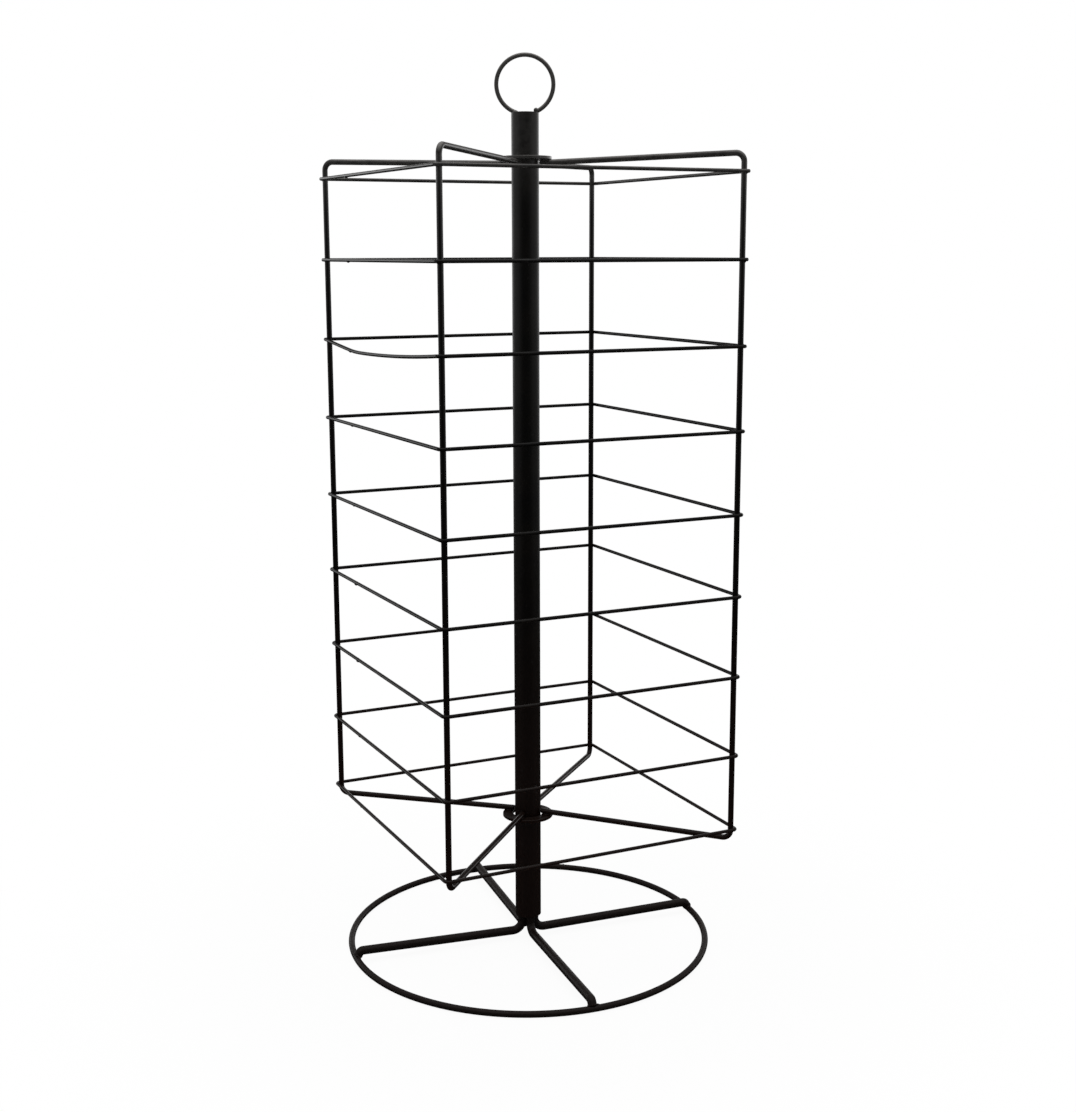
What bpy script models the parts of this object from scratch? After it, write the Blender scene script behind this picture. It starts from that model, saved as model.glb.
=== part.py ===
"""Revolving countertop wire rack.

A loose wire basket turns on a tube post. The post stands on four bent legs in a ring base.
Units are metres and +Z is up. The counter is z = 0 and the post's axis is the Z axis.
"""

import math

import bmesh
import bpy
from mathutils import Quaternion, Vector

MM = 0.001

# Wire and tube stock
BASE_WIRE = 6.35 * MM
LEG_WIRE = 7.95 * MM
UPRIGHT_WIRE = 4.8 * MM
RING_WIRE = 3.0 * MM
HANDLE_WIRE = 4.0 * MM
POST_OD = 25.4 * MM
POST_WALL = 2.0 * MM

# Stand: ring base, legs, post, handle and stop pin
BASE_RADIUS = 182.0 * MM  # centre line of the base ring
LEG_COUNT = 4
LEG_TURN = math.radians(-6.0)  # first leg from +X
LEG_LIFT = 0.3 * MM  # under side of a leg above the top of the base ring
LEG_BEND = 10.5 * MM  # centre line radius of a leg's bend under the post
LEG_DIP_BEND = 4.5 * MM  # centre line radius of a leg's bend at the base ring
LEG_DIP = math.radians(40.0)  # slope of a leg's outer end, down to the base ring
LEG_SOCKET = 40.0 * MM  # length of a leg inside the post
POST_STANDOFF = 3.4 * MM  # straight leg showing under the post
POST_ABOVE = 40.4 * MM  # post showing above the top collar
HANDLE_OD = 56.4 * MM
HANDLE_TURN = math.radians(-25.0)  # width of the handle from +X
PIN_DIAMETER = 5.0 * MM
PIN_HOLE = 103.7 * MM  # pin axis above the post's lower end
PIN_REACH = 5.0 * MM  # pin under the collar, past its bore

# Basket: uprights, collars and square rings
BASKET_HEIGHT = 652.6 * MM  # between the arms' centre lines at the uprights
ARM_RISE = 5.4 * MM  # top arms climb this much outwards, bottom arms drop as much
UPRIGHT_RADIUS = 210.6 * MM  # post axis to an upright's axis
UPRIGHT_COUNT = 4
UPRIGHT_TURN = math.radians(45.0)  # first upright from +X
UPRIGHT_BEND = 8.0 * MM
COLLAR_PLAY = 2.3 * MM  # radial gap between the post and a collar's bore
COLLAR_BAND = 10.4 * MM  # bore to rim
COLLAR_THICKNESS = 3.2 * MM
TOP_RING_DROP = 16.4 * MM  # top ring under the top arms' outer ends
LOW_RING_RISE = 9.7 * MM  # lowest ring over the bottom arms' outer ends
RING_PITCH = 78.8 * MM

# Gap left at every seam, filled by weld or coating on the real rack
SEAM = 0.3 * MM

# Facets
ROUND_STEPS = 64
TUBE_STEPS = 48
BEND_STEPS = 8
CORNER_STEPS = 6
HANDLE_STEPS = 48
BASE_SIDES = 12
DRILL_STEPS = 24
THIN_SIDES = 2  # bevel resolution of a thin wire: 8 sides
THICK_SIDES = 4  # bevel resolution of a thick wire: 12 sides
SHARP_ANGLE = math.radians(40.0)

# Finish
COAT_COLOUR = (0.012, 0.011, 0.011, 1.0)
COAT_ROUGHNESS = 0.38
PIN_COLOUR = (0.020, 0.020, 0.021, 1.0)
PIN_ROUGHNESS = 0.45

# Radii worked out from the post outwards
POST_RADIUS = POST_OD / 2
POST_BORE = POST_RADIUS - POST_WALL
LEG_RADIUS = POST_BORE - SEAM - LEG_WIRE / 2
COLLAR_BORE = POST_RADIUS + COLLAR_PLAY
COLLAR_RIM = COLLAR_BORE + COLLAR_BAND
RING_WRAP = UPRIGHT_WIRE / 2 + SEAM + RING_WIRE / 2

# Heights worked out from the counter up
BASE_HEIGHT = BASE_WIRE / 2
LEG_HEIGHT = BASE_WIRE + LEG_LIFT + LEG_WIRE / 2
POST_BOTTOM = LEG_HEIGHT + LEG_BEND + POST_STANDOFF
PIN_HEIGHT = POST_BOTTOM + PIN_HOLE
BOTTOM_COLLAR_HEIGHT = PIN_HEIGHT + PIN_DIAMETER / 2 + SEAM + COLLAR_THICKNESS / 2
ARM_SLOPE = ARM_RISE / (UPRIGHT_RADIUS - COLLAR_BORE)
COLLAR_TO_ARM = COLLAR_THICKNESS / 2 + SEAM + UPRIGHT_WIRE / 2 + ARM_SLOPE * COLLAR_BAND
BOTTOM_ARM_HEIGHT = BOTTOM_COLLAR_HEIGHT + COLLAR_TO_ARM
BOTTOM_BEND_HEIGHT = BOTTOM_ARM_HEIGHT - ARM_RISE
TOP_BEND_HEIGHT = BOTTOM_BEND_HEIGHT + BASKET_HEIGHT
TOP_ARM_HEIGHT = TOP_BEND_HEIGHT - ARM_RISE
TOP_COLLAR_HEIGHT = TOP_ARM_HEIGHT + COLLAR_TO_ARM
POST_TOP = TOP_COLLAR_HEIGHT + COLLAR_THICKNESS / 2 + POST_ABOVE
TOP_RING_HEIGHT = TOP_BEND_HEIGHT - TOP_RING_DROP
LOW_RING_HEIGHT = BOTTOM_BEND_HEIGHT + LOW_RING_RISE


def coat(name, colour=COAT_COLOUR, roughness=COAT_ROUGHNESS):
    """Black powder coat over steel."""
    material = bpy.data.materials.new(name + "_coat")
    material.use_nodes = True
    shader = material.node_tree.nodes["Principled BSDF"]
    shader.inputs["Base Color"].default_value = colour
    shader.inputs["Roughness"].default_value = roughness
    shader.inputs["Metallic"].default_value = 0.0
    return material


def add_object(name, data, parent, material=None):
    """Put a mesh or curve in the scene under its parent, with its own material."""
    item = bpy.data.objects.new(name, data)
    bpy.context.scene.collection.objects.link(item)
    item.parent = parent
    if material is not None:
        item.data.materials.append(material)
    return item


def wire(name, points, diameter, resolution, parent, closed=False):
    """Round wire along points, with flat cut ends where it is open."""
    curve = bpy.data.curves.new(name, "CURVE")
    curve.dimensions = "3D"
    curve.fill_mode = "FULL"
    curve.bevel_depth = diameter / 2
    curve.bevel_resolution = resolution
    curve.use_fill_caps = not closed
    spline = curve.splines.new("POLY")
    spline.points.add(len(points) - 1)
    for spline_point, place in zip(spline.points, points):
        spline_point.co = (*place, 1.0)
    spline.use_cyclic_u = closed
    spline.use_smooth = True
    return add_object(name, curve, parent, coat(name))


def turned(name, outline, steps, parent):
    """Ring turned about Z from a closed outline of (radius, height) corners."""
    mesh = bpy.data.meshes.new(name)
    shape = bmesh.new()
    corners = [shape.verts.new((radius, 0.0, height)) for radius, height in outline]
    edges = [shape.edges.new((corners[i - 1], corners[i])) for i in range(len(corners))]
    bmesh.ops.spin(
        shape,
        geom=corners + edges,
        axis=(0.0, 0.0, 1.0),
        cent=(0.0, 0.0, 0.0),
        angle=math.tau,
        steps=steps,
        use_merge=True,
    )
    bmesh.ops.recalc_face_normals(shape, faces=shape.faces)
    shape.to_mesh(mesh)
    shape.free()
    mesh.shade_smooth()
    mesh.set_sharp_from_angle(angle=SHARP_ANGLE)
    return add_object(name, mesh, parent, coat(name))


def bent_path(corners, radii, steps, closed=False):
    """Straight runs through the corners, with an arc of its own radius at each bend."""
    points = []
    bends = radii if closed else [None, *radii, None]
    for index, (corner, radius) in enumerate(zip(corners, bends)):
        if radius is None:
            points.append(corner)
            continue
        back = (corners[index - 1] - corner).normalized()
        ahead = (corners[(index + 1) % len(corners)] - corner).normalized()
        turn = math.pi - back.angle(ahead)
        start = corner + back * radius * math.tan(turn / 2)
        centre = corner + (back + ahead).normalized() * radius / math.cos(turn / 2)
        axis = ahead.cross(back)
        for step in range(steps + 1):
            swing = Quaternion(axis, turn * step / steps)
            points.append(centre + swing @ (start - centre))
    return points


def make_base_ring(stand):
    """Round wire ring with a flat land to stand on."""
    corner_radius = BASE_WIRE / 2 / math.cos(math.pi / BASE_SIDES)
    outline = []
    for side in range(BASE_SIDES):
        angle = math.tau * (side + 0.5) / BASE_SIDES - math.pi / 2
        radius = BASE_RADIUS + corner_radius * math.cos(angle)
        height = BASE_HEIGHT + corner_radius * math.sin(angle)
        outline.append((radius, height))
    turned("base_ring", outline, ROUND_STEPS, stand)


def make_legs(stand):
    """Rods that drop out of the post, run out level and dip on to the base ring."""
    level_drop = LEG_HEIGHT - BASE_HEIGHT
    dip_radius = BASE_RADIUS - level_drop / math.tan(LEG_DIP)
    dip_length = level_drop / math.sin(LEG_DIP) - BASE_WIRE / 2 - SEAM
    corners = [
        Vector((LEG_RADIUS, 0.0, POST_BOTTOM + LEG_SOCKET)),
        Vector((LEG_RADIUS, 0.0, LEG_HEIGHT)),
        Vector((dip_radius, 0.0, LEG_HEIGHT)),
    ]
    dip = Vector((math.cos(LEG_DIP), 0.0, -math.sin(LEG_DIP)))
    corners.append(corners[-1] + dip * dip_length)
    path = bent_path(corners, [LEG_BEND, LEG_DIP_BEND], BEND_STEPS)
    for leg in range(LEG_COUNT):
        rod = wire(f"base_leg_{leg + 1}", path, LEG_WIRE, THICK_SIDES, stand)
        rod.rotation_euler.z = LEG_TURN + math.tau * leg / LEG_COUNT


def slug_mesh(name, radius, length, steps):
    """Round slug along Z, centred on its own middle."""
    mesh = bpy.data.meshes.new(name)
    shape = bmesh.new()
    bmesh.ops.create_cone(
        shape,
        cap_ends=True,
        segments=steps,
        radius1=radius,
        radius2=radius,
        depth=length,
    )
    shape.to_mesh(mesh)
    shape.free()
    mesh.shade_smooth()
    mesh.set_sharp_from_angle(angle=SHARP_ANGLE)
    return mesh


def make_post(stand):
    """Open tube, drilled across for the stop pin."""
    outline = [
        (POST_BORE, POST_BOTTOM),
        (POST_RADIUS, POST_BOTTOM),
        (POST_RADIUS, POST_TOP),
        (POST_BORE, POST_TOP),
    ]
    post = turned("post_tube", outline, TUBE_STEPS, stand)
    drill_radius = PIN_DIAMETER / 2 + SEAM
    drill = add_object("pin_drill", slug_mesh("pin_drill", drill_radius, 2 * POST_OD, DRILL_STEPS), stand)
    place_pin(drill)
    drill.hide_render = True
    drill.display_type = "WIRE"
    hole = post.modifiers.new("pin_hole", "BOOLEAN")
    hole.operation = "DIFFERENCE"
    hole.object = drill


def place_pin(item):
    """Lay a slug on the pin's axis, square to the handle."""
    item.location.z = PIN_HEIGHT
    item.rotation_euler = (math.pi / 2, 0.0, HANDLE_TURN)


def make_stop_pin(stand):
    """Cross pin that carries the basket's bottom collar."""
    length = 2 * (COLLAR_BORE + PIN_REACH)
    mesh = slug_mesh("stop_pin", PIN_DIAMETER / 2, length, DRILL_STEPS)
    pin = add_object("stop_pin", mesh, stand, coat("stop_pin", PIN_COLOUR, PIN_ROUGHNESS))
    place_pin(pin)


def make_handle(stand):
    """Open wire loop whose two ends stand on the post's rim."""
    rim_radius = POST_RADIUS - POST_WALL / 2
    gape = math.asin(rim_radius / (HANDLE_OD / 2))
    centre_height = POST_TOP + SEAM + HANDLE_OD / 2 * math.cos(gape)
    loop_radius = (HANDLE_OD - HANDLE_WIRE) / 2
    path = []
    for step in range(HANDLE_STEPS + 1):
        angle = gape + (math.tau - 2 * gape) * step / HANDLE_STEPS
        across = loop_radius * math.sin(angle)
        height = centre_height - loop_radius * math.cos(angle)
        path.append(Vector((across, 0.0, height)))
    handle = wire("handle_loop", path, HANDLE_WIRE, THICK_SIDES, stand)
    handle.rotation_euler.z = HANDLE_TURN


def make_uprights(basket):
    """Bracket-shaped rods, bent a little past square, whose arms reach in to the collars."""
    corners = [
        Vector((COLLAR_BORE, 0.0, TOP_ARM_HEIGHT)),
        Vector((UPRIGHT_RADIUS, 0.0, TOP_BEND_HEIGHT)),
        Vector((UPRIGHT_RADIUS, 0.0, BOTTOM_BEND_HEIGHT)),
        Vector((COLLAR_BORE, 0.0, BOTTOM_ARM_HEIGHT)),
    ]
    path = bent_path(corners, [UPRIGHT_BEND] * 2, BEND_STEPS)
    for upright in range(UPRIGHT_COUNT):
        rod = wire(f"upright_{upright + 1}", path, UPRIGHT_WIRE, THICK_SIDES, basket)
        rod.rotation_euler.z = UPRIGHT_TURN + math.tau * upright / UPRIGHT_COUNT


def make_collars(basket):
    """Flat washers over the top arms and under the bottom arms."""
    half = COLLAR_THICKNESS / 2
    outline = [(COLLAR_BORE, -half), (COLLAR_RIM, -half), (COLLAR_RIM, half), (COLLAR_BORE, half)]
    for name, height in (("top_collar", TOP_COLLAR_HEIGHT), ("bottom_collar", BOTTOM_COLLAR_HEIGHT)):
        collar = turned(name, outline, TUBE_STEPS, basket)
        collar.location.z = height


def ring_heights():
    """Rings at an even pitch from the top, and one just over the bottom bends."""
    heights = []
    height = TOP_RING_HEIGHT
    while height > LOW_RING_HEIGHT + RING_PITCH / 2:
        heights.append(height)
        height -= RING_PITCH
    return heights + [LOW_RING_HEIGHT]


def make_rings(basket):
    """Square wire rings wrapped round the outside of the uprights."""
    corner_radius = UPRIGHT_RADIUS + RING_WRAP / math.cos(math.pi / UPRIGHT_COUNT)
    corners = []
    for corner in range(UPRIGHT_COUNT):
        angle = UPRIGHT_TURN + math.tau * corner / UPRIGHT_COUNT
        corners.append(Vector((corner_radius * math.cos(angle), corner_radius * math.sin(angle), 0.0)))
    path = bent_path(corners, [RING_WRAP] * UPRIGHT_COUNT, CORNER_STEPS, closed=True)
    for level, height in enumerate(ring_heights()):
        ring = wire(f"square_ring_{level + 1}", path, RING_WIRE, THIN_SIDES, basket, closed=True)
        ring.location.z = height


def main():
    for item in list(bpy.data.objects):
        bpy.data.objects.remove(item, do_unlink=True)
    stand = add_object("stand_frame", None, None)
    basket = add_object("basket_axis", None, stand)
    make_base_ring(stand)
    make_legs(stand)
    make_post(stand)
    make_stop_pin(stand)
    make_handle(stand)
    make_uprights(basket)
    make_collars(basket)
    make_rings(basket)


main()
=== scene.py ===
# %% [markdown]
# # A revolving countertop wire rack
#
# The real rack is a workshop job: steel rod, wire and tube, cut, bent, welded, then powder coated black.
# A ring base with four bent legs carries a tube post. A tall basket of square wire rings hangs loose on
# the post and turns. The lesson follows the workshop: each wire is fed and bent, then welded and coated.

import math
import random

import bpy
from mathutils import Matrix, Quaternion, Vector


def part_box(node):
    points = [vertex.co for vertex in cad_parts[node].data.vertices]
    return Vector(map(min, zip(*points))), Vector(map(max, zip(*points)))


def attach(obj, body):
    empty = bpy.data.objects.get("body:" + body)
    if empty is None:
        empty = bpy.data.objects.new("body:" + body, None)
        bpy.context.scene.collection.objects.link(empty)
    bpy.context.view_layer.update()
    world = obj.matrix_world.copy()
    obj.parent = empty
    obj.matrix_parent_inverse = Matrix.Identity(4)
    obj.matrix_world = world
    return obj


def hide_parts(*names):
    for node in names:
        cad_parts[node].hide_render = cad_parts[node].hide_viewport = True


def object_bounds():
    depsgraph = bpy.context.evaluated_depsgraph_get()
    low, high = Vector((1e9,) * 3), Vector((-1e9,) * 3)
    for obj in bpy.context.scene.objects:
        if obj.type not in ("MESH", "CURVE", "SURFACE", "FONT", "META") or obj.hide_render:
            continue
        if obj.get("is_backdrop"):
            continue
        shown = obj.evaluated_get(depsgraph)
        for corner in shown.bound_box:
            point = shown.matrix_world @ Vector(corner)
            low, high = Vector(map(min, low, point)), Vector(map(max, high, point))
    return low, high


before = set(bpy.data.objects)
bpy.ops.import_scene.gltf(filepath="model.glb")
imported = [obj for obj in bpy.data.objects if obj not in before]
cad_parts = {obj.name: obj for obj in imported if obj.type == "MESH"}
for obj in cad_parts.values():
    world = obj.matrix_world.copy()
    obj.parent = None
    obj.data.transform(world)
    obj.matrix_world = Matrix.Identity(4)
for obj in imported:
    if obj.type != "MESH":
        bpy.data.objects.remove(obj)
cad_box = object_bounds()
MM = 0.001
print("parts in the frame:", len(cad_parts))

# %% [markdown]
# ## The camera
#
# The photograph was taken from a little below the rack's top, about a metre and a half away, looking
# slightly down. The place and the lens were worked out from the corners of the rings, so the camera is
# set by numbers and not by eye.

# %% Place the camera
FRAME_HEIGHT_PIXELS = 1112
FOCAL_PIXELS = 1599.8
SENSOR_MM = 36.0
CAMERA_PLACE = (-0.6639, -1.4088, 0.6978)
CAMERA_HEADING = 64.36
CAMERA_DIP = 10.81
CAMERA_ROLL = -0.165

bpy.ops.object.select_all(action="DESELECT")
bpy.ops.object.camera_add(
    location=CAMERA_PLACE,
    rotation=(math.radians(90.0 - CAMERA_DIP), 0.0, math.radians(CAMERA_HEADING - 90.0)),
)
camera = bpy.context.active_object
camera.rotation_euler.rotate_axis("Z", math.radians(CAMERA_ROLL))
camera.data.sensor_width = SENSOR_MM
camera.data.lens = FOCAL_PIXELS * SENSOR_MM / FRAME_HEIGHT_PIXELS
bpy.context.scene.camera = camera
print("lens", round(camera.data.lens, 2), "mm")

# %% [markdown]
# ## Sums for shaders
#
# A finish is a small web of nodes. Wrapping a node's output in a class lets its sums be written as plain
# Python, such as `0.3 + 0.1 * grain`. One method adds every other kind of node.


# %% Wrap a socket
class Value:
    """An output of a node that sums like a number."""

    def __init__(self, tree, socket):
        self.tree = tree
        self.socket = socket

    def node(self, kind, settings=None, inputs=None, output=0):
        """Add a node to the same tree, set it, fill its inputs and give one of its outputs."""
        made = self.tree.nodes.new(kind)
        for key, setting in (settings or {}).items():
            setattr(made, key, setting)
        for key, value in (inputs or {}).items():
            if isinstance(value, Value):
                self.tree.links.new(value.socket, made.inputs[key])
            else:
                made.inputs[key].default_value = value
        return Value(self.tree, made.outputs[output])

    def sum(self, operation, left, right):
        return self.node("ShaderNodeMath", {"operation": operation}, {0: left, 1: right})

    def __add__(self, other):
        return self.sum("ADD", self, other)

    def __radd__(self, other):
        return self.sum("ADD", other, self)

    def __sub__(self, other):
        return self.sum("SUBTRACT", self, other)

    def __rsub__(self, other):
        return self.sum("SUBTRACT", other, self)

    def __mul__(self, other):
        return self.sum("MULTIPLY", self, other)

    def __rmul__(self, other):
        return self.sum("MULTIPLY", other, self)

    def larger(self, other):
        return self.sum("MAXIMUM", self, other)

    def size(self):
        return self.node("ShaderNodeMath", {"operation": "ABSOLUTE"}, {0: self})

    def between(self, low, high):
        """0 at low, 1 at high, and a smooth step between them."""
        steps = {"interpolation_type": "SMOOTHSTEP"}
        return self.node("ShaderNodeMapRange", steps, {"Value": self, "From Min": low, "From Max": high})

    def blend(self, first, second):
        """A colour between two, by this value."""
        mix = {"data_type": "RGBA"}
        return self.node("ShaderNodeMix", mix, {"Factor": self, "A": first, "B": second}, "Result")


def first_value(tree, kind, output):
    """A node to start from, such as the coordinates."""
    return Value(tree, tree.nodes.new(kind).outputs[output])


print("socket sums ready")

# %% [markdown]
# ## The white surround
#
# The rack stands in front of a white wall, in a dim room. The world gives both. The camera and clear things
# see plain white. Shiny surfaces see the walls as a pale band at their own height, brightest behind the rack
# and darkest around the camera, with a dim ceiling over it and a dark counter under it. So the wires shine
# grey near the top of the rack, at the camera's own height, and lower down they stay black. Everything else
# gets an even fill, the light that white walls throw back.


# %% Tell the rays apart
def rays(tree):
    """Three values: 1 for the camera's own rays, 1 for rays through clear things and 1 for shine."""
    kinds = ("Is Camera Ray", "Is Transmission Ray", "Is Glossy Ray")
    return [first_value(tree, "ShaderNodeLightPath", kind) for kind in kinds]


print("rays: seen, clear and shine")

# %% Build the world
BLACK = (0.0, 0.0, 0.0, 1.0)
WHITE = (1.0, 1.0, 1.0, 1.0)
WALL_TURN = math.radians(64.4)
SIDE_LEVEL = 0.60
CAMERA_SIDE_SHARE = 0.15
CEILING_LEVEL = 0.40
COUNTER_LEVEL = 0.015
FILL_LEVEL = 0.40

# How far a ray points at the wall, from -1, straight away from it, to 1: where each part starts and is full.
SIDES_FROM, SIDES_FULL = -0.99, -0.35
WALL_FROM, WALL_FULL = -0.2, 0.9
LIFT_FROM, LIFT_FULL = 0.2, 0.8

# How far a ray points up, from -1 to 1: where the band starts, is full, dims and ends, then the ceiling.
BAND_STARTS, BAND_FULL, BAND_DIMS, BAND_ENDS = -0.22, 0.14, 0.06, 0.28
CEILING_FROM, CEILING_FULL = 0.3, 0.95

# Straight behind the rack the band is full sooner, dims later and ends later, by this much.
FULL_SOONER, DIMS_LATER, ENDS_LATER = 0.10, 0.06, 0.08

world = bpy.data.worlds.new("white_wall")
bpy.context.scene.world = world
world.use_nodes = True
room = world.node_tree
way = first_value(room, "ShaderNodeTexCoord", "Generated")
wall_way = (math.cos(WALL_TURN), math.sin(WALL_TURN), 0.0)
behind = way.node("ShaderNodeVectorMath", {"operation": "DOT_PRODUCT"}, {0: way, 1: wall_way}, "Value")
rise = way.node("ShaderNodeSeparateXYZ", None, {0: way}, "Z")
seen, clear, shine = rays(room)
away = 1.0 - CAMERA_SIDE_SHARE
sides = SIDE_LEVEL * (CAMERA_SIDE_SHARE + away * behind.between(SIDES_FROM, SIDES_FULL))
walls = sides.larger(behind.between(WALL_FROM, WALL_FULL))
lift = behind.between(LIFT_FROM, LIFT_FULL)
foot = rise.between(BAND_STARTS, BAND_FULL - FULL_SOONER * lift)
head = rise.between(BAND_ENDS + ENDS_LATER * lift, BAND_DIMS + DIMS_LATER * lift)
ceiling = COUNTER_LEVEL + CEILING_LEVEL * rise.between(CEILING_FROM, CEILING_FULL)
mirrored = shine * (foot * head * walls).larger(ceiling)
level = seen.larger(clear).larger(mirrored).larger(FILL_LEVEL * (1.0 - shine))
tone = level.blend(BLACK, WHITE)
room.links.new(tone.socket, room.nodes["Background"].inputs["Color"])
print("world:", world.name)

# %% [markdown]
# ## The light
#
# One wide softbox hangs over the rack. It is larger than the rack is tall, so the shadows are faint. It is
# kept out of the shine, which comes from the walls alone.

# %% Hang the softbox
SOFTBOX_PLACE = (0.1, 0.25, 2.3)
SOFTBOX_SIZE = 2.8
SOFTBOX_WATTS = 38.0

bpy.ops.object.light_add(type="AREA", location=SOFTBOX_PLACE)
softbox = bpy.context.active_object
softbox.name = "softbox"
softbox.data.shape = "DISK"
softbox.data.size = SOFTBOX_SIZE
softbox.data.energy = SOFTBOX_WATTS
softbox.visible_glossy = False
print("softbox", softbox.data.size, "m across")

# %% [markdown]
# ## The floor
#
# The counter is a white sheet. Near the rack the camera sees a little of the lit paper, so the rack's faint
# shadow lies on it. Further out the sheet turns to plain white, so that no edge shows. Shiny surfaces see
# it dark, as they do the counter of the world, or the low wires would come out grey.

# %% Lay the floor
FLOOR_RADIUS = 0.75
FLOOR_SIDES = 96
FLOOR_GAP = 0.2 * MM

bpy.ops.mesh.primitive_circle_add(
    vertices=FLOOR_SIDES, radius=FLOOR_RADIUS, fill_type="NGON", location=(0.0, 0.0, -FLOOR_GAP)
)
floor = bpy.context.active_object
floor.name = "floor"
bpy.ops.object.transform_apply(location=True, rotation=True, scale=True)
print("floor", 2 * FLOOR_RADIUS, "m across")

# %% Whiten the floor
PAPER = (0.95, 0.95, 0.95, 1.0)
DARK_COUNTER = (0.02, 0.02, 0.02, 1.0)
PLAIN_SHARE = 0.94
FADE_FROM, FADE_FULL = 0.22, 0.60

sheet_finish = bpy.data.materials.new("white_sheet")
sheet_finish.use_nodes = True
sheet = sheet_finish.node_tree
sheet.nodes.remove(sheet.nodes["Principled BSDF"])
spot = first_value(sheet, "ShaderNodeTexCoord", "Object")
reach = spot.node("ShaderNodeVectorMath", {"operation": "LENGTH"}, {0: spot}, "Value")
seen, clear, shine = rays(sheet)
share = PLAIN_SHARE + (1.0 - PLAIN_SHARE) * reach.between(FADE_FROM, FADE_FULL)
plain = shine.larger(seen.larger(clear) * share)
paper = spot.node("ShaderNodeBsdfDiffuse", None, {"Color": PAPER})
tone = shine.blend(WHITE, DARK_COUNTER)
glow = spot.node("ShaderNodeEmission", None, {"Color": tone})
surface = spot.node("ShaderNodeMixShader", None, {0: plain, 1: paper, 2: glow})
sheet.links.new(surface.socket, sheet.nodes["Material Output"].inputs["Surface"])
floor.data.materials.append(sheet_finish)
floor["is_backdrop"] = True
print("floor finish:", sheet_finish.name)

# %% [markdown]
# ## The black coat
#
# Powder coat melts into a satin skin with a fine orange peel. The tone and the gloss drift slowly, because
# the coat is never quite even. Nicks show grey, a trace of dust lies on the upper sides, and the low parts,
# near the counter, are browner. At the top, where hands turn the rack, the wires are rubbed to a shine, and
# a painted sheen stands in for the light from above: the colour is greyed in patches, with a painted
# highlight along the upper sides. The peel is a bump, because it is far finer than the
# wire. The noise is read at the piece's own coordinates, so nothing slides when the basket turns. It runs
# around 0.5, so a high window, such as 0.69 to 0.77, keeps only its rare peaks: those are the nicks.

# %% Choose the tones of the coat
DEEP_BLACK = (0.0010, 0.0009, 0.0008, 1.0)
THIN_BLACK = (0.0036, 0.0025, 0.0016, 1.0)
WARM_BLACK = (0.0076, 0.0027, 0.0015, 1.0)
NICK_GREY = (0.020, 0.019, 0.018, 1.0)
DUST = (0.016, 0.0155, 0.015, 1.0)
# Painted sheen: a grey put into the coat's colour at the top of the rack, standing in for the light from
# above that lightens it there.
PAINTED_SHEEN_GREY = (0.056, 0.053, 0.050, 1.0)
# Painted highlight: a pale grey put on the upper sides of the wires at the top, where light from above falls.
PAINTED_TOP_HIGHLIGHT = (0.19, 0.18, 0.17, 1.0)
print("grey of the worn coat:", PAINTED_SHEEN_GREY[0])

# %% Choose where the coat changes
DRIFT_SCALE, PATCH_SCALE, NICK_SCALE, PEEL_SCALE = 38.0, 160.0, 420.0, 900.0
PEEL_DEPTH = 0.1 * MM
PEEL_STRENGTH = 0.08

# Heights on the rack: where the brown, the painted sheen and the gloss start and are full, and how near a
# collar rubs.
BROWN_FROM, BROWN_FULL = 0.45, 0.10
SHEEN_FROM, SHEEN_FULL = 0.73, 0.79
GLOSS_FROM, GLOSS_FULL = 0.62, 0.77
RUB_FROM, RUB_FULL = 7.0 * MM, 2.0 * MM
print("the top is worn from", SHEEN_FROM, "m up")

# %% Mix the powder coat
DUST_SHARE = 0.3
NICK_SHARE = 0.7
# The painted sheen lies in patches; this is its least share between the patches.
SHEEN_PATCH_LEAST = 0.55
PATCH_ROUGHER = 0.10
DUST_ROUGHER = 0.10
NICK_ROUGHER = 0.15
RUB_SMOOTHER = 0.12
SHINE_LEVEL = 0.45
GLOSS_ROUGHNESS = 0.25


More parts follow.
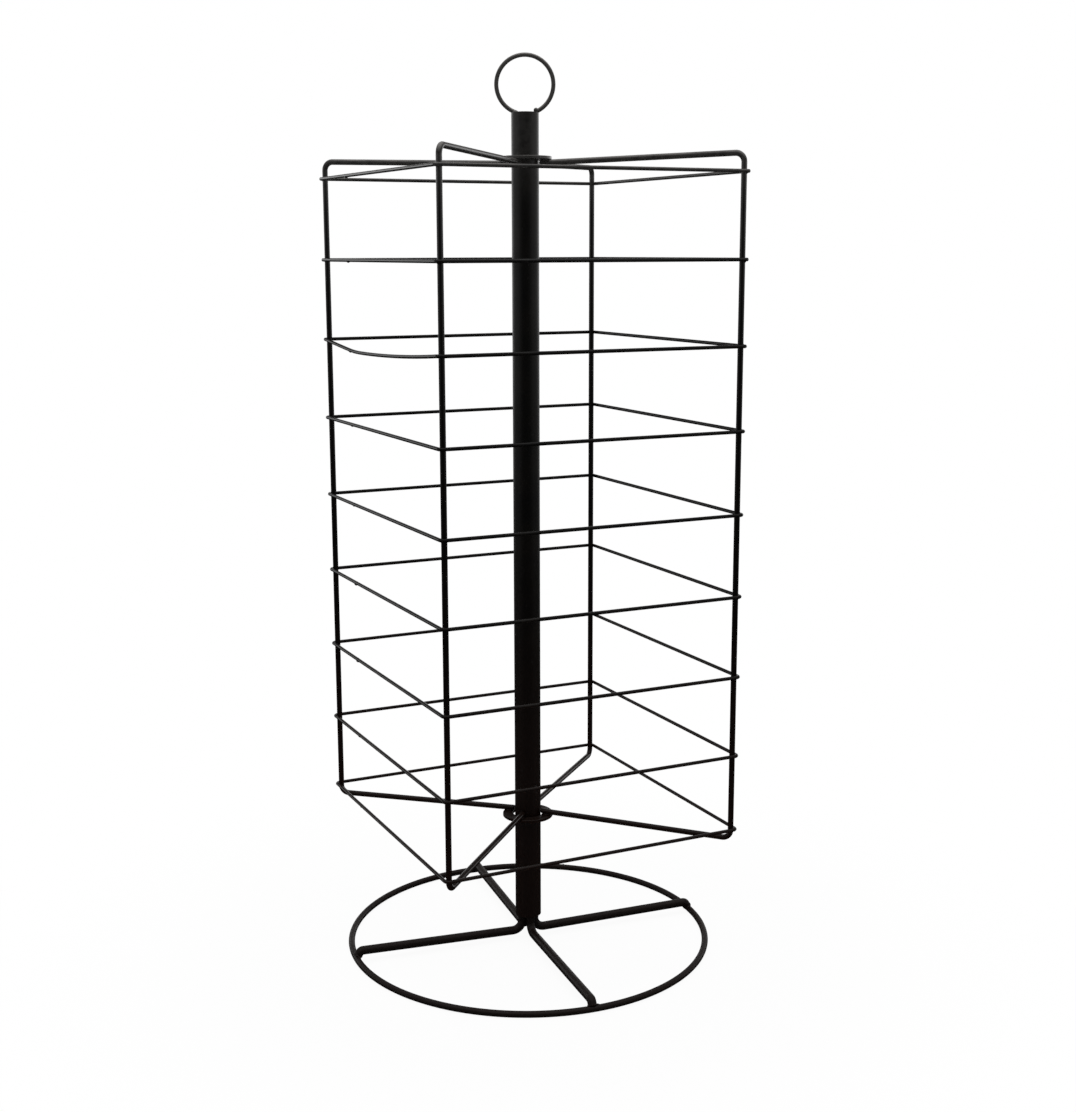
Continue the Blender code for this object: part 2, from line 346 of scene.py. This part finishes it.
def powder_coat(name, roughness, painted_sheen=0.0, polish=0.0, rubbed=()):
    """Satin black coat. Painted sheen greys its top, light from above painted into the colour, and polish
    makes it shine. Collars rub at the heights given.
    """
    finish = bpy.data.materials.new(name)
    finish.use_nodes = True
    tree = finish.node_tree
    spot = first_value(tree, "ShaderNodeTexCoord", "Object")
    facing = first_value(tree, "ShaderNodeNewGeometry", "Normal")
    high = spot.node("ShaderNodeSeparateXYZ", None, {0: spot}, "Z")
    up = spot.node("ShaderNodeSeparateXYZ", None, {0: facing}, "Z")

    def noise(scale, detail):
        return spot.node("ShaderNodeTexNoise", None, {"Vector": spot, "Scale": scale, "Detail": detail})

    drift = noise(DRIFT_SCALE, 3.0)
    patch = noise(PATCH_SCALE, 2.0)
    nick = noise(NICK_SCALE, 2.0)
    peel = noise(PEEL_SCALE, 1.0)
    dusty = up.between(0.6, 1.0) * drift.between(0.35, 0.70)
    nicked = nick.between(0.69, 0.77)
    # Painted sheen at the top of the rack: the colour greyed in patches, as if lit from above.
    mottled = SHEEN_PATCH_LEAST + (1.0 - SHEEN_PATCH_LEAST) * patch.between(0.30, 0.62)
    top = painted_sheen * high.between(SHEEN_FROM, SHEEN_FULL)
    skin = drift.between(0.3, 0.7).blend(DEEP_BLACK, THIN_BLACK)
    skin = high.between(BROWN_FROM, BROWN_FULL).blend(skin, WARM_BLACK)
    skin = (DUST_SHARE * dusty).blend(skin, DUST)
    skin = (top * mottled).blend(skin, PAINTED_SHEEN_GREY)
    # Painted highlight along the upper sides at the top, standing in for light from above.
    skin = (top * up.between(0.1, 0.8) * drift.between(0.2, 0.6)).blend(skin, PAINTED_TOP_HIGHLIGHT)
    skin = (NICK_SHARE * nicked).blend(skin, NICK_GREY)
    rough = roughness + PATCH_ROUGHER * (patch - 0.5) + DUST_ROUGHER * dusty + NICK_ROUGHER * nicked
    for middle in rubbed:
        near = (high - middle).size().between(RUB_FROM, RUB_FULL)
        rough = rough - RUB_SMOOTHER * near * patch.between(0.35, 0.65)
    relief = {"Strength": PEEL_STRENGTH, "Distance": PEEL_DEPTH, "Height": peel - nicked}
    bump = spot.node("ShaderNodeBump", None, relief)
    shader = tree.nodes["Principled BSDF"]
    tree.links.new(skin.socket, shader.inputs["Base Color"])
    tree.links.new(rough.socket, shader.inputs["Roughness"])
    tree.links.new(bump.socket, shader.inputs["Normal"])
    shader.inputs["Specular IOR Level"].default_value = SHINE_LEVEL
    if polish:
        gloss = polish * high.between(GLOSS_FROM, GLOSS_FULL)
        tree.links.new(gloss.socket, shader.inputs["Coat Weight"])
        shader.inputs["Coat Roughness"].default_value = GLOSS_ROUGHNESS
    return finish


print("powder coat ready")


# %% Coat each kind of piece
def middle_height(node):
    """Height of the middle of a part."""
    low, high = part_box(node)
    return (low.z + high.z) / 2


collar_heights = [middle_height("top_collar"), middle_height("bottom_collar")]
# The painted sheen amount sets how much light from above is painted into each coat's colour at the top; the
# handle gets the most.
WIRE_COAT = powder_coat("wire_coat", 0.20, painted_sheen=0.7, polish=1.0)
HANDLE_COAT = powder_coat("handle_coat", 0.34, painted_sheen=1.6)
POST_COAT = powder_coat("post_coat", 0.30, painted_sheen=0.35, rubbed=collar_heights)
BASE_COAT = powder_coat("base_coat", 0.46)
PIN_FINISH = powder_coat("pin_finish", 0.40)
for finish in (WIRE_COAT, HANDLE_COAT, POST_COAT, BASE_COAT, PIN_FINISH):
    print(finish.name, len(finish.node_tree.nodes), "nodes")

# %% [markdown]
# ## How a wire is bent
#
# A wire bender feeds wire out and swings it round a former. The same two moves work in Blender: a filled
# circle is the cut end, extrude feeds it on, and spin bends it. The circle stays round through every bend,
# as real wire does. Headless Blender spins against the right-hand rule, so the angle is given a minus.

# %% Make a wire bender
WIRE_SIDES = 24
MERGE_GAP = 0.02 * MM


def pick(piece):
    """Select one piece alone and make it the one that operators work on."""
    bpy.ops.object.select_all(action="DESELECT")
    piece.select_set(True)
    bpy.context.view_layer.objects.active = piece


def settle():
    """Put the active piece's place and turn into its mesh."""
    bpy.ops.object.transform_apply(location=True, rotation=True, scale=True)
    return bpy.context.active_object


class Bender:
    """Feeds and bends a wire from its first cut end. A ring starts from an open end, to close on itself."""

    def __init__(self, name, thickness, place, heading, ring=False):
        self.place = Vector(place)
        self.heading = Vector(heading)
        bpy.ops.object.select_all(action="DESELECT")
        bpy.ops.mesh.primitive_circle_add(
            vertices=WIRE_SIDES,
            radius=thickness / 2,
            fill_type="NOTHING" if ring else "NGON",
            location=self.place,
            rotation=self.heading.to_track_quat("Z", "Y").to_euler(),
        )
        self.piece = settle()
        self.piece.name = name
        bpy.ops.object.mode_set(mode="EDIT")
        bpy.ops.mesh.select_mode(type="EDGE" if ring else "FACE")
        bpy.ops.mesh.select_all(action="SELECT")

    def feed(self, length, cuts=1):
        for _ in range(cuts):
            step = self.heading * (length / cuts)
            bpy.ops.mesh.extrude_region_move(TRANSFORM_OT_translate={"value": step})
        self.place = self.place + self.heading * length

    def bend(self, toward, radius, angle, steps):
        toward = Vector(toward)
        centre = self.place + toward * radius
        axis = self.heading.cross(toward)
        bpy.ops.mesh.spin(steps=steps, angle=-angle, center=centre, axis=axis)
        swing = Quaternion(axis, angle)
        self.place = centre + swing @ (self.place - centre)
        self.heading = swing @ self.heading

    def cut(self):
        """Leave edit mode with a ring's ends joined and the faces outwards."""
        bpy.ops.mesh.select_all(action="SELECT")
        bpy.ops.mesh.remove_doubles(threshold=MERGE_GAP)
        bpy.ops.mesh.normals_make_consistent(inside=False)
        bpy.ops.object.mode_set(mode="OBJECT")
        return self.piece


print("bender ready:", WIRE_SIDES, "sided wire")

# %% [markdown]
# ## Finishing moves
#
# Every piece ends the same way: its sharp edges are softened, as shears, files and the coat do, it is
# coated, and it takes the place of the plain part that it stands for. Pieces that repeat are made once and
# copied, each copy with its own mesh.

# %% Soften and smooth
SHARP_ANGLE = math.radians(60.0)
SMOOTH_ANGLE = math.radians(50.0)


def soften(piece, width, segments=2):
    """Round the sharp edges."""
    pick(piece)
    bpy.ops.object.modifier_add(type="BEVEL")
    edge = piece.modifiers[-1]
    edge.width = width
    edge.segments = segments
    edge.limit_method = "ANGLE"
    edge.angle_limit = SHARP_ANGLE
    bpy.ops.object.modifier_apply(modifier=edge.name)


def smooth(piece):
    """Shade a piece smooth, with its large faces keeping their own direction."""
    pick(piece)
    bpy.ops.object.shade_smooth_by_angle(angle=SMOOTH_ANGLE)
    bpy.ops.object.modifier_add(type="WEIGHTED_NORMAL")
    piece.modifiers[-1].keep_sharp = True
    bpy.ops.object.modifier_apply(modifier=piece.modifiers[-1].name)


print("edges sharper than", round(math.degrees(SHARP_ANGLE)), "degrees are rounded")


# %% Copy and fit
def copy_piece(piece, name, turn=0.0, rise=0.0):
    """A copy with its own mesh, turned about the post and raised."""
    pick(piece)
    bpy.ops.object.duplicate(linked=False)
    copy = bpy.context.active_object
    copy.name = name
    copy.rotation_euler.z = turn
    copy.location.z = rise
    return settle()


def fit(piece, body, node=None, finish=WIRE_COAT):
    """Coat a finished piece and set it in the frame, in place of a plain part if it has one."""
    smooth(piece)
    piece.data.materials.clear()
    piece.data.materials.append(finish)
    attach(piece, body)
    if node:
        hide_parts(node)
    print(piece.name, "on", body, len(piece.data.polygons), "faces")


print("copying and fitting ready")

# %% [markdown]
# ## The base ring
#
# The base is quarter-inch wire rolled to a ring. It is one full bend, so the bender makes it in one move.
# The wire starts where its ends will be butted and welded, at the back right.

# %% Roll the base ring
BASE_RADIUS = 182.0 * MM
BASE_WIRE = 6.35 * MM
BASE_SEAM_TURN = math.radians(52.0)
BASE_STEPS = 192
UP = Vector((0.0, 0.0, 1.0))

seam_way = Vector((math.cos(BASE_SEAM_TURN), math.sin(BASE_SEAM_TURN), 0.0))
base_seam = seam_way * BASE_RADIUS + UP * BASE_WIRE / 2
bender = Bender("base_ring_wire", BASE_WIRE, base_seam, UP.cross(seam_way), ring=True)
bender.bend(-seam_way, BASE_RADIUS, math.tau, BASE_STEPS)
fit(bender.cut(), "stand", "base_ring", BASE_COAT)

# %% [markdown]
# ## The legs
#
# Each leg is one rod: down out of the post, a bend under it, a run out, and a tight last bend down on to
# the base ring. The rack's weight has pressed the middle down a little, so the runs climb outwards by a few
# millimetres. One leg is bent along X and the other three are copies turned about the post.

# %% Measure the legs
LEG_COUNT = 4
LEG_WIRE = 7.95 * MM
LEG_BEND = 10.5 * MM
LEG_DIP_BEND = 4.3 * MM
LEG_DIP = math.radians(60.0)
LEG_TURN = math.radians(-6.0)
LEG_LIFT = 0.3 * MM
LEG_SAG = 3.0 * MM
POST_RADIUS = 12.7 * MM
POST_WALL = 2.0 * MM
WELD_GAP = 0.3 * MM

leg_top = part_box("base_leg_1")[1].z
leg_height = BASE_WIRE + LEG_LIFT + LEG_WIRE / 2
leg_radius = POST_RADIUS - POST_WALL - WELD_GAP - LEG_WIRE / 2
leg_drop = leg_height - BASE_WIRE / 2
leg_run = BASE_RADIUS - leg_drop / math.tan(LEG_DIP) - leg_radius
leg_lean = math.atan(LEG_SAG / leg_run)
hub_angle = math.pi / 2 + leg_lean
dip_angle = LEG_DIP + leg_lean
hub_setback = LEG_BEND * math.tan(hub_angle / 2)
dip_setback = LEG_DIP_BEND * math.tan(dip_angle / 2)
print("legs dip", round(math.degrees(leg_lean), 2), "degrees towards the post")

# %% Bend the legs
COAT = 0.35 * MM
LEG_BITE = 0.8 * MM
ROD_EDGE = 0.6 * MM
HUB_STEPS = 16
DIP_STEPS = 8

bender = Bender("leg_rod", LEG_WIRE + 2 * COAT, (leg_radius, 0.0, leg_top), -UP)
bender.feed(leg_top - leg_height + LEG_SAG - hub_setback, cuts=4)
bender.bend((1.0, 0.0, 0.0), LEG_BEND, hub_angle, HUB_STEPS)
bender.feed(math.hypot(leg_run, LEG_SAG) - hub_setback - dip_setback, cuts=12)
bender.bend((bender.heading.z, 0.0, -bender.heading.x), LEG_DIP_BEND, dip_angle, DIP_STEPS)
bender.feed(leg_drop / math.sin(LEG_DIP) - BASE_WIRE / 2 - dip_setback + LEG_BITE, cuts=2)
leg_rod = bender.cut()
soften(leg_rod, ROD_EDGE)
leg_turns = [LEG_TURN + math.tau / LEG_COUNT * leg for leg in range(LEG_COUNT)]
for number, turn in enumerate(leg_turns, start=1):
    fit(copy_piece(leg_rod, f"leg_rod_{number}", turn), "stand", f"base_leg_{number}", BASE_COAT)
bpy.data.objects.remove(leg_rod)

# %% [markdown]
# ## The post
#
# The post is one-inch tube, open at both ends. A cylinder becomes a tube when both its ends are inset and
# bridged through the middle. Washers are made the same way, so the move is a helper.

# %% Make a tube cutter
ROUND_SIDES = 96
END_FACING = 0.9


def tube(name, radius, bore, low, high):
    """A round tube standing on the post's axis."""
    bpy.ops.object.select_all(action="DESELECT")
    bpy.ops.mesh.primitive_cylinder_add(
        vertices=ROUND_SIDES,
        radius=radius,
        depth=high - low,
        end_fill_type="NGON",
        location=(0.0, 0.0, (low + high) / 2),
    )
    piece = settle()
    piece.name = name
    for face in piece.data.polygons:
        face.select = abs(face.normal.z) > END_FACING
    bpy.ops.object.mode_set(mode="EDIT")
    bpy.ops.mesh.select_mode(type="FACE")
    bpy.ops.mesh.inset(thickness=radius - bore, use_individual=True)
    bpy.ops.mesh.bridge_edge_loops()
    bpy.ops.mesh.select_all(action="SELECT")
    bpy.ops.mesh.normals_make_consistent(inside=False)
    bpy.ops.object.mode_set(mode="OBJECT")
    return piece


print("tube cutter ready:", ROUND_SIDES, "sides")

# %% Cut the post
RIM_EDGE = 0.35 * MM
RIM_SEGMENTS = 3

post_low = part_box("post_tube")[0].z
post_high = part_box("post_tube")[1].z
post = tube("post_tube_wall", POST_RADIUS + COAT, POST_RADIUS - POST_WALL, post_low, post_high)
soften(post, RIM_EDGE, RIM_SEGMENTS)
print("tube", round(post_high - post_low, 4), "m long")

# %% [markdown]
# ## The stop pin
#
# A cross pin under the bottom collar carries the basket. Its hole is cut with a Boolean, as a drill would.
# Two bisect cuts close above and below the hole keep the long faces of the tube out of it.

# %% Make a pin
PIN_TURN = math.radians(-25.0)
PIN_SIDES = 32

pin_height = middle_height("stop_pin")


def turn_pin(name, radius, length):
    """A round slug on the pin's axis, square to the handle."""
    bpy.ops.object.select_all(action="DESELECT")
    bpy.ops.mesh.primitive_cylinder_add(
        vertices=PIN_SIDES,
        radius=radius,
        depth=length,
        end_fill_type="NGON",
        location=(0.0, 0.0, pin_height),
        rotation=(math.pi / 2, 0.0, PIN_TURN),
    )
    slug = settle()
    slug.name = name
    return slug


print("pin axis", round(pin_height, 4), "m up")

# %% Drill the post and fit the pin
PIN_DIAMETER = 5.0 * MM
PIN_LENGTH = 40.0 * MM
PIN_CLEARANCE = 0.1 * MM
PIN_EDGE = 0.6 * MM
PIN_SEGMENTS = 3
CUT_MARGIN = 9.0 * MM

pick(post)
bpy.ops.object.mode_set(mode="EDIT")
for cut_height in (pin_height - CUT_MARGIN, pin_height + CUT_MARGIN):
    bpy.ops.mesh.select_all(action="SELECT")
    bpy.ops.mesh.bisect(plane_co=(0.0, 0.0, cut_height), plane_no=UP)
bpy.ops.object.mode_set(mode="OBJECT")
drill = turn_pin("pin_drill", PIN_DIAMETER / 2 + PIN_CLEARANCE, 2 * PIN_LENGTH)
pick(post)
bpy.ops.object.modifier_add(type="BOOLEAN")
post.modifiers[-1].operation = "DIFFERENCE"
post.modifiers[-1].object = drill
bpy.ops.object.modifier_apply(modifier=post.modifiers[-1].name)
bpy.data.objects.remove(drill)
fit(post, "stand", "post_tube", POST_COAT)

stop_pin = turn_pin("stop_pin_rod", PIN_DIAMETER / 2, PIN_LENGTH)
soften(stop_pin, PIN_EDGE, PIN_SEGMENTS)
fit(stop_pin, "stand", "stop_pin", PIN_FINISH)

# %% [markdown]
# ## The handle
#
# The handle is a wire loop whose ends stand on the post's rim. It is one long bend: the cut end starts on
# the left, swings nearly all the way round and stops a little higher on the right.

# %% Bend the handle
HANDLE_WIRE = 4.0 * MM
HANDLE_RADIUS = 26.8 * MM
HANDLE_TURN = math.radians(-25.0)
HANDLE_LEFT_GAPE = math.radians(17.0)
HANDLE_RIGHT_GAPE = math.radians(23.0)
HANDLE_STEPS = 96
WIRE_EDGE = 0.4 * MM

handle_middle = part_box("handle_loop")[1].z - HANDLE_RADIUS - HANDLE_WIRE / 2
start_way = Vector((-math.sin(HANDLE_LEFT_GAPE), 0.0, -math.cos(HANDLE_LEFT_GAPE)))
start_place = UP * handle_middle + start_way * HANDLE_RADIUS
bender = Bender("handle_wire", HANDLE_WIRE, start_place, (start_way.z, 0.0, -start_way.x))
handle_angle = math.tau - HANDLE_LEFT_GAPE - HANDLE_RIGHT_GAPE
bender.bend(-start_way, HANDLE_RADIUS, handle_angle, HANDLE_STEPS)
handle = bender.cut()
handle.rotation_euler.z = HANDLE_TURN
settle()
soften(handle, WIRE_EDGE)
fit(handle, "stand", "handle_loop", HANDLE_COAT)

# %% [markdown]
# ## The uprights
#
# The basket's four uprights are brackets: an arm in to the top collar, a bend, the long side, a bend, and
# an arm in to the bottom collar. The bends go a little past square, so the arms lean towards each other.
# The uprights stand on the diagonals, at the corners of the square rings.

# %% Measure the uprights
UPRIGHT_COUNT = 4
UPRIGHT_TURN = math.radians(45.0)
UPRIGHT_WIRE = 4.8 * MM
UPRIGHT_RADIUS = 210.6 * MM
UPRIGHT_BEND = 8.0 * MM
ARM_RISE = 5.4 * MM
COLLAR_BORE = 15.0 * MM
COLLAR_RIM = 25.4 * MM

arm_run = UPRIGHT_RADIUS - COLLAR_BORE
arm_lean = math.atan(ARM_RISE / arm_run)
arm_rest = WELD_GAP + UPRIGHT_WIRE / 2 + ARM_RISE * (COLLAR_RIM - COLLAR_BORE) / arm_run
arm_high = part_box("top_collar")[0].z - arm_rest
arm_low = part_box("bottom_collar")[1].z + arm_rest
bend_angle = math.pi / 2 + arm_lean
bend_setback = UPRIGHT_BEND * math.tan(bend_angle / 2)
arm_length = math.hypot(arm_run, ARM_RISE) - bend_setback
side_length = arm_high - arm_low + 2 * ARM_RISE - 2 * bend_setback
outward = Vector((math.cos(arm_lean), 0.0, math.sin(arm_lean)))
print("arms lean", round(math.degrees(arm_lean), 2), "degrees")

# %% Bend the uprights
UPRIGHT_STEPS = 14

bender = Bender("upright_rod", UPRIGHT_WIRE + 2 * COAT, (COLLAR_BORE, 0.0, arm_high), outward)
bender.feed(arm_length, cuts=12)
bender.bend((outward.z, 0.0, -outward.x), UPRIGHT_BEND, bend_angle, UPRIGHT_STEPS)
bender.feed(side_length, cuts=40)
bender.bend((-1.0, 0.0, 0.0), UPRIGHT_BEND, bend_angle, UPRIGHT_STEPS)
bender.feed(arm_length, cuts=12)
upright_rod = bender.cut()
soften(upright_rod, WIRE_EDGE)
upright_turns = [UPRIGHT_TURN + math.tau / UPRIGHT_COUNT * corner for corner in range(UPRIGHT_COUNT)]
for number, turn in enumerate(upright_turns, start=1):
    fit(copy_piece(upright_rod, f"upright_rod_{number}", turn), "basket", f"upright_{number}")
bpy.data.objects.remove(upright_rod)

# %% [markdown]
# ## The collars
#
# The arms meet on two flat washers that run loose on the post: one over the top arms, one under the bottom
# arms. A washer is a very short tube, and stamping rounds its edges.

# %% Stamp the collars
WASHER_EDGE = 0.7 * MM
WASHER_SEGMENTS = 3

for node in ("top_collar", "bottom_collar"):
    low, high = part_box(node)
    washer = tube(node + "_washer", COLLAR_RIM, COLLAR_BORE, low.z, high.z)
    soften(washer, WASHER_EDGE, WASHER_SEGMENTS)
    fit(washer, "basket", node)

# %% [markdown]
# ## The square rings
#
# Each ring is one wire bent round the outside of the four uprights. Its ends are butt-welded on the left
# side, near the left corner. The wire starts at that weld, goes round four corners and meets itself.

# %% Bend the square rings
RING_WIRE = 3.0 * MM
RING_WRAP = 4.2 * MM
RING_SEAM = 73.0 * MM
RING_COUNT = 9
CORNER_STEPS = 10
THIN_COAT = 0.2 * MM

corner_line = UPRIGHT_RADIUS * math.sqrt(0.5)
side_line = corner_line + RING_WRAP
ring_heights = [middle_height(f"square_ring_{number}") for number in range(1, RING_COUNT + 1)]

ring_start = (-side_line, RING_SEAM, 0.0)
bender = Bender("ring_wire", RING_WIRE + 2 * THIN_COAT, ring_start, (0.0, -1.0, 0.0), ring=True)
bender.feed(corner_line + RING_SEAM, cuts=24)
for _ in range(3):
    bender.bend(UP.cross(bender.heading), RING_WRAP, math.pi / 2, CORNER_STEPS)
    bender.feed(2 * corner_line, cuts=12)
bender.bend(UP.cross(bender.heading), RING_WRAP, math.pi / 2, CORNER_STEPS)
bender.feed(corner_line - RING_SEAM, cuts=8)
ring_wire = bender.cut()
rings = []
for number, height in enumerate(ring_heights, start=1):
    rings.append(copy_piece(ring_wire, f"ring_wire_{number}", rise=height))
bpy.data.objects.remove(ring_wire)
print(len(rings), "rings", round(2 * side_line, 4), "m across")

# %% [markdown]
# ## One knocked wire
#
# On the real rack the left side of the third ring has been knocked down: it drops straight from the left
# corner, kinks near its weld and climbs slowly to the front corner. No operator bends a wire by such an
# uneven curve, so the points of that side are lowered by a formula.

# %% Knock the third ring and fit them all
KNOCKED_RING = 2  # counted from 0
SAG_DEPTH = 8.0 * MM
SAG_PLACE = 0.29
SAG_ROUND = 1.0 * MM


def sag_at(y):
    """How far the knocked side hangs at a place along it: a straight drop, a soft kink, a slow climb."""
    along = (corner_line - y) / (2 * corner_line)
    drop = SAG_DEPTH * along / SAG_PLACE
    climb = SAG_DEPTH * (1.0 - ((along - SAG_PLACE) / (1.0 - SAG_PLACE)) ** 2)
    return (drop + climb - math.hypot(drop - climb, SAG_ROUND)) / 2


sagging = rings[KNOCKED_RING]
lowered = 0
for point in sagging.data.vertices:
    if point.co.x < -corner_line and abs(point.co.y) < corner_line:
        point.co.z -= sag_at(point.co.y)
        lowered += 1
print("lowered", lowered, "points of", sagging.name)
for number, ring in enumerate(rings, start=1):
    fit(ring, "basket", f"square_ring_{number}")

# %% [markdown]
# ## The welds
#
# Wherever two wires meet, a small lump of steel joins them, and the coat runs over it. Each lump starts as
# a ball, is made uneven, pressed to its size and set in the seam. All the lumps of one kind are one piece.

# %% Make a weld lump
LUMP_UNEVEN = 0.22
LUMP_LEAST, LUMP_MOST = 0.9, 1.15

weld_draw = random.Random(11)


def polar(radius, turn, height):
    """A place at a radius from the post's axis."""
    return Vector((radius * math.cos(turn), radius * math.sin(turn), height))


def weld(place, sizes, turn=0.0, tilt=0.0):
    """A lump with its own half sizes: away from the post, along the seam and up, before its tilt."""
    bpy.ops.object.select_all(action="DESELECT")
    bpy.ops.mesh.primitive_ico_sphere_add(subdivisions=3, radius=1.0)
    lump = bpy.context.active_object
    bpy.ops.object.mode_set(mode="EDIT")
    bpy.ops.mesh.select_all(action="SELECT")
    bpy.ops.transform.vertex_random(offset=LUMP_UNEVEN, seed=weld_draw.randint(0, 9999))
    bpy.ops.mesh.vertices_smooth(factor=0.5, repeat=2)
    bpy.ops.object.mode_set(mode="OBJECT")
    swell = weld_draw.uniform(LUMP_LEAST, LUMP_MOST)
    lump.scale = [size * swell for size in sizes]
    lump.rotation_euler = (0.0, tilt, turn)
    lump.location = place
    return settle()


def join_welds(name, lumps, body):
    """One piece from all the lumps of a kind."""
    pick(lumps[0])
    for lump in lumps:
        lump.select_set(True)
    if len(lumps) > 1:
        bpy.ops.object.join()
    lumps[0].name = name
    fit(lumps[0], body)


print("weld lumps ready")

# %% [markdown]
# ### Welds of the stand
#
# A leg's foot has one lump over its tip and a small one beside it, where the welder stopped. Its other end
# is welded to the post's lower rim. The handle's left end has a flat lump and its right end, which stops
# higher, a round one. The butt weld of the base ring sits a little high, so that the ring still lies flat.

# %% Weld the legs
FOOT_LUMP = (1.7 * MM, 5.0 * MM, 4.3 * MM)
FOOT_PROUD = 0.2 * MM
SIDE_LUMP = (1.6 * MM, 3.6 * MM, 2.2 * MM)
SIDE_SHIFT = 4.6 * MM
SIDE_DROP = 1.2 * MM
HUB_LUMP = (1.5 * MM, 3.4 * MM, 1.2 * MM)
HUB_INSET = 1.4 * MM

foot_normal = Vector((-math.cos(LEG_DIP), 0.0, math.sin(LEG_DIP)))
foot_reach = BASE_WIRE / 2 + FOOT_PROUD
foot_radius = BASE_RADIUS + foot_normal.x * foot_reach
foot_height = BASE_WIRE / 2 + foot_normal.z * foot_reach
foot_lumps = []
hub_lumps = []
for turn in leg_turns:
    beside = turn + SIDE_SHIFT / BASE_RADIUS
    foot_lumps.append(weld(polar(foot_radius, turn, foot_height), FOOT_LUMP, turn, LEG_DIP))
    foot_lumps.append(weld(polar(foot_radius, beside, foot_height - SIDE_DROP), SIDE_LUMP, beside))
    hub_lumps.append(weld(polar(POST_RADIUS - HUB_INSET, turn, post_low), HUB_LUMP, turn))
join_welds("foot_welds", foot_lumps, "stand")
join_welds("hub_welds", hub_lumps, "stand")

# %% Weld the handle and close the base ring
LEFT_LUMP = (3.4 * MM, 2.5 * MM, 1.5 * MM)
LEFT_OUT = -9.4 * MM
LEFT_UP = 0.4 * MM
RIGHT_LUMP = (2.5 * MM, 2.4 * MM, 2.4 * MM)
RIGHT_OUT = 10.4 * MM
RIGHT_UP = 2.0 * MM
BASE_LUMP = (3.3 * MM, 2.4 * MM, 3.0 * MM)
BASE_LIFT = 0.5 * MM

left_foot = polar(LEFT_OUT, HANDLE_TURN, post_high + LEFT_UP)
right_foot = polar(RIGHT_OUT, HANDLE_TURN, post_high + RIGHT_UP)
handle_lumps = [weld(left_foot, LEFT_LUMP, HANDLE_TURN), weld(right_foot, RIGHT_LUMP, HANDLE_TURN)]
join_welds("handle_welds", handle_lumps, "stand")
base_lump = weld(base_seam + UP * BASE_LIFT, BASE_LUMP, BASE_SEAM_TURN)
join_welds("base_seam_weld", [base_lump], "stand")

# %% [markdown]
# ### Welds of the basket
#
# A ring touches an upright at each corner and is welded there, a little high or low, as a hand leaves it.
# Its own butt weld is a small lump round the wire, a little low. The arms are welded to the collars where
# they meet them.

# %% Weld the basket
CORNER_LUMP = (1.3 * MM, 2.7 * MM, 2.0 * MM)
CORNER_PROUD = 0.1 * MM
CORNER_HIGHEST, CORNER_LOWEST = -0.3, 0.9
SEAM_LUMP = (1.9 * MM, 2.6 * MM, 2.1 * MM)
SEAM_DROP = 0.5 * MM
COLLAR_LUMP = (4.6 * MM, 3.3 * MM, 1.1 * MM)

corner_radius = UPRIGHT_RADIUS + UPRIGHT_WIRE / 2 + CORNER_PROUD
collar_middle = (COLLAR_BORE + COLLAR_RIM) / 2
corner_lumps = []
seam_lumps = []
collar_lumps = []
for height in ring_heights:
    for turn in upright_turns:
        drop = weld_draw.uniform(CORNER_HIGHEST, CORNER_LOWEST) * MM
        place = polar(corner_radius, turn, height - drop)
        corner_lumps.append(weld(place, CORNER_LUMP, turn))
    sag = sag_at(RING_SEAM) if height == ring_heights[KNOCKED_RING] else 0.0
    seam_lumps.append(weld(Vector((-side_line, RING_SEAM, height - sag - SEAM_DROP)), SEAM_LUMP))
for turn in upright_turns:
    for arm, side in ((arm_low, -1.0), (arm_high, 1.0)):
        place = polar(collar_middle, turn, arm + side * UPRIGHT_WIRE / 2)
        collar_lumps.append(weld(place, COLLAR_LUMP, turn))
join_welds("ring_welds", corner_lumps, "basket")
join_welds("ring_seam_welds", seam_lumps, "basket")
join_welds("collar_welds", collar_lumps, "basket")

# %% [markdown]
# ## The size of the finished rack
#
# The looks must not change the rack's size, so the box of the plain parts and the box of the finished
# rack are printed side by side.

# %% Print the sizes
looks_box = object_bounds()
boxes = {"cad": [list(corner) for corner in cad_box], "visual": [list(corner) for corner in looks_box]}
for name, corners in boxes.items():
    print(name, [[round(value, 4) for value in corner] for corner in corners])
bpy.context.scene.view_settings.view_transform = "Standard"
